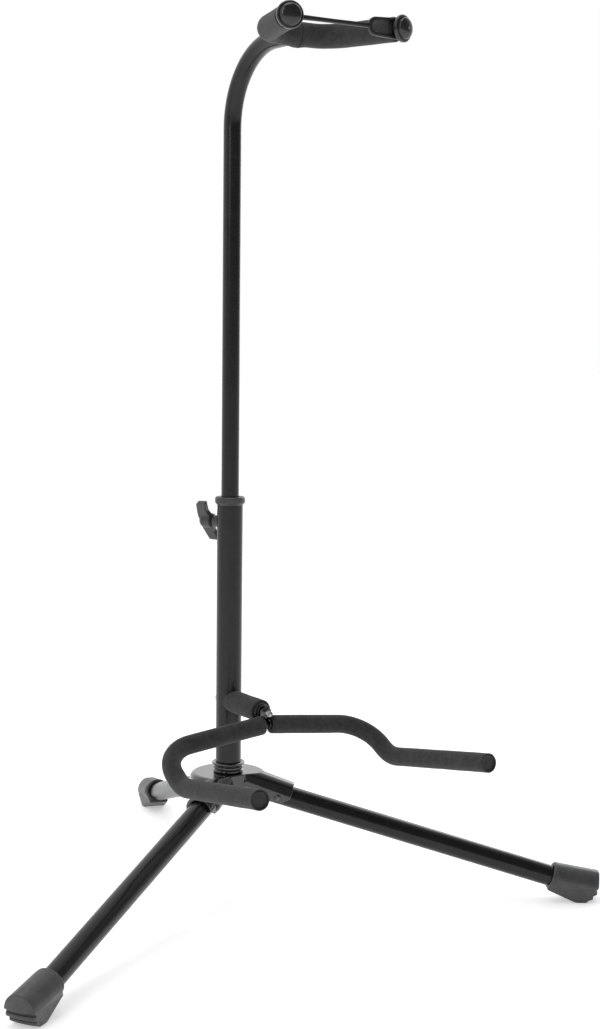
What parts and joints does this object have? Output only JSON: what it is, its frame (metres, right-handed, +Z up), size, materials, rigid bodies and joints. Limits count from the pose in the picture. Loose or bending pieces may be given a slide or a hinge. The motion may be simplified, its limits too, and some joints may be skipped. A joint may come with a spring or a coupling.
{
  "type": "tubular tripod guitar stand",
  "caption": "Folding tripod guitar stand: telescopic bent mast, padded neck yoke with elastic strap, padded U cradle, rubber feet.",
  "frame": {"origin": "on the floor under the middle of the stand's bounding box; the post's own axis stands at x 0, y -52.6 mm", "axes": "+Z up, -Y to the front where the cradle and the yoke open, +X to the right when looking along +Y"},
  "size_m": [0.6536, 0.6255, 0.8521],
  "materials": {
    "black_paint": "satin black powder coat",
    "gloss_black": "gloss black enamel",
    "dark_steel": "blackened steel",
    "grey_plastic": "moulded dark grey",
    "black_plastic": "moulded black",
    "gloss_plastic": "gloss black moulding",
    "foam": "fine closed-cell foam skin",
    "rubber": "satin dark rubber",
    "strap_rubber": "smooth elastic band"
  },
  "bodies": {
    "base": {"lower_tube": "black_paint", "height_collar": "grey_plastic", "base_collar": "gloss_black", "tube_base_plug": "black_plastic", "hub_washer": "dark_steel", "hub_bolt": "dark_steel", "leg_housing": "gloss_black", "leg_rivets": "dark_steel", "clutch_boss": "dark_steel", "cradle_bolt": "dark_steel", "spacer_tube": "dark_steel", "spacer_foam": "foam", "spacer_washer": "dark_steel", "cradle_nut": "dark_steel"},
    "leg_left": {"leg_tube_left": "black_paint", "foot_left": "rubber"},
    "leg_right": {"leg_tube_right": "black_paint", "foot_right": "rubber"},
    "leg_rear": {"leg_tube_rear": "black_paint", "foot_rear": "rubber"},
    "stud": {"clutch_stud": "dark_steel"},
    "knob": {"wing_knob": "grey_plastic"},
    "cradle": {"cradle_tab": "dark_steel", "cradle_rod_left": "black_paint", "cradle_rod_right": "black_paint", "cradle_foam_left": "foam", "cradle_foam_right": "foam", "cradle_plug_left": "black_plastic", "cradle_plug_right": "black_plastic"},
    "glide": {"glide_bush": "black_plastic"},
    "mast": {"mast_tube": "black_paint", "yoke_rod": "black_paint", "yoke_foam_left": "foam", "yoke_foam_right": "foam", "yoke_cap_left": "gloss_plastic", "yoke_cap_right": "gloss_plastic", "neck_strap": "strap_rubber"}
  },
  "joints": [
    {"name": "leg_left_fold", "type": "hinge", "parent": "base", "child": "leg_left", "pos_m": [-0.0419, -0.07877, 0.10763], "axis": [0.5299, -0.848, 0], "range_deg": [0, 73]},
    {"name": "leg_right_fold", "type": "hinge", "parent": "base", "child": "leg_right", "pos_m": [0.0419, -0.07877, 0.10763], "axis": [0.5299, 0.848, 0], "range_deg": [0, 73]},
    {"name": "leg_rear_fold", "type": "hinge", "parent": "base", "child": "leg_rear", "pos_m": [0.01387, -0.00516, 0.10763], "axis": [-0.9598, 0.2807, 0], "range_deg": [0, 73]},
    {"name": "mast_height", "type": "slide", "parent": "base", "child": "glide", "axis": [0, 0, 1], "range_m": [-0.025, 0.1]},
    {"name": "mast_swivel", "type": "hinge", "parent": "glide", "child": "mast", "pos_m": [0, -0.05258, 0.3], "axis": [0, 0, 1], "continuous": true},
    {"name": "clutch_travel", "type": "slide", "parent": "base", "child": "stud", "axis": [-0.4226, 0.9063, 0], "range_m": [0, 0.0031]},
    {"name": "knob_turn", "type": "hinge", "parent": "stud", "child": "knob", "pos_m": [0, -0.05258, 0.3826], "axis": [-0.4226, 0.9063, 0], "range_deg": [0, 1080]},
    {"name": "cradle_swivel", "type": "hinge", "parent": "base", "child": "cradle", "pos_m": [0, -0.11758, 0.204], "axis": [0, -1, 0], "range_deg": [-90, 90]}
  ],
  "couplings": [
    {"joint": "clutch_travel", "follows": "knob_turn", "m_per_rad": 0.00015915}
  ]
}
